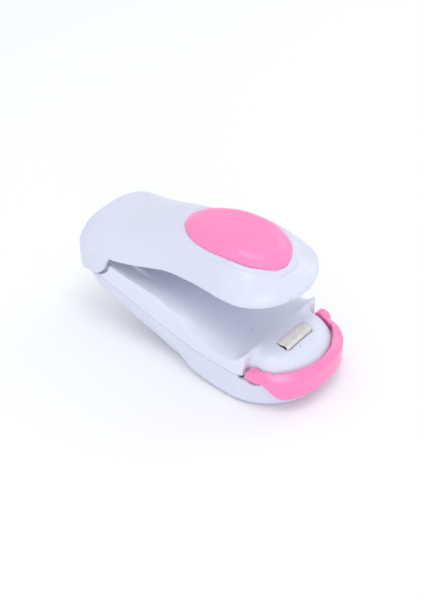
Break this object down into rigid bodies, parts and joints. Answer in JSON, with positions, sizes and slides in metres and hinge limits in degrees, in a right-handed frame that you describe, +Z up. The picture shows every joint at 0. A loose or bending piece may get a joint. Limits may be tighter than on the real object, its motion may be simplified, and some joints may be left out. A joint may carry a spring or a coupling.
{
  "type": "handheld bag heat sealer",
  "caption": "Palm-sized heat sealer with a sprung pressing lever, thumb pad, heated bar on the nose and a swing-up lock bail.",
  "frame": {"origin": "middle of the overall box, on the table under the flat part of the base", "axes": "+X to the sealing nose, +Y to the left side, +Z up from the table"},
  "size_m": [0.0947, 0.0414, 0.0506],
  "materials": {
    "white_plastic": "moulded white plastic with a cool tint, satin gloss",
    "pink_plastic": "moulded pink plastic, satin gloss",
    "steel": "plain steel",
    "nickel": "nickel plated spring strip",
    "black_plastic": "black insulating plastic",
    "ceramic": "heat proof moulded block",
    "heating_alloy": "resistance ribbon",
    "glass_cloth": "coated glass cloth",
    "red_wire": "red wire insulation",
    "black_wire": "black wire insulation",
    "silicone": "grey silicone rubber",
    "cell_label": "plain cell sleeve"
  },
  "bodies": {
    "base": {"base_tub": "white_plastic", "base_deck": "white_plastic", "hinge_pin": "steel", "return_spring": "steel", "battery_left": "cell_label", "battery_right": "cell_label", "positive_plate": "nickel", "negative_plate": "nickel", "bridge_contact": "nickel", "front_contact_coil": "nickel", "rear_contact_coil": "nickel", "switch_leaf_lower": "nickel", "switch_leaf_upper": "nickel", "switch_spacer": "black_plastic", "heater_block": "ceramic", "heater_ribbon": "heating_alloy", "heater_cloth": "glass_cloth", "heater_terminal_left": "nickel", "heater_terminal_right": "nickel", "case_screws": "steel", "wire_battery_heater": "red_wire", "wire_switch_heater": "black_wire", "wire_battery_switch": "black_wire"},
    "lever": {"lever_shell": "white_plastic", "thumb_pad": "pink_plastic", "press_carrier": "white_plastic", "press_pad": "silicone", "liner_screws": "steel"},
    "bail": {"lock_bail": "pink_plastic"},
    "cover": {"battery_cover": "white_plastic"},
    "plunger": {"switch_plunger": "white_plastic"}
  },
  "joints": [
    {"name": "lever_hinge", "type": "hinge", "parent": "base", "child": "lever", "pos_m": [-0.03685, 0, 0.0283], "axis": [0, 1, 0], "range_deg": [0, 14.5], "stiffness_Nm_per_rad": 0.12, "springref_deg": -20.05, "deforming": ["return_spring"]},
    {"name": "bail_hinge", "type": "hinge", "parent": "base", "child": "bail", "pos_m": [0.03225, 0, 0.0119], "axis": [0, -1, 0], "range_deg": [0, 54]},
    {"name": "cover_hinge", "type": "hinge", "parent": "base", "child": "cover", "pos_m": [0.01875, 0, 0.00025], "axis": [0, -1, 0], "range_deg": [0, 40]},
    {"name": "plunger_slide", "type": "slide", "parent": "base", "child": "plunger", "axis": [0, 0, -1], "range_m": [0, 0.0009], "deforming": ["switch_leaf_upper"]}
  ],
  "couplings": [
    {"joint": "plunger_slide", "follows": "lever_hinge", "m_per_rad": 0.0035168}
  ]
}
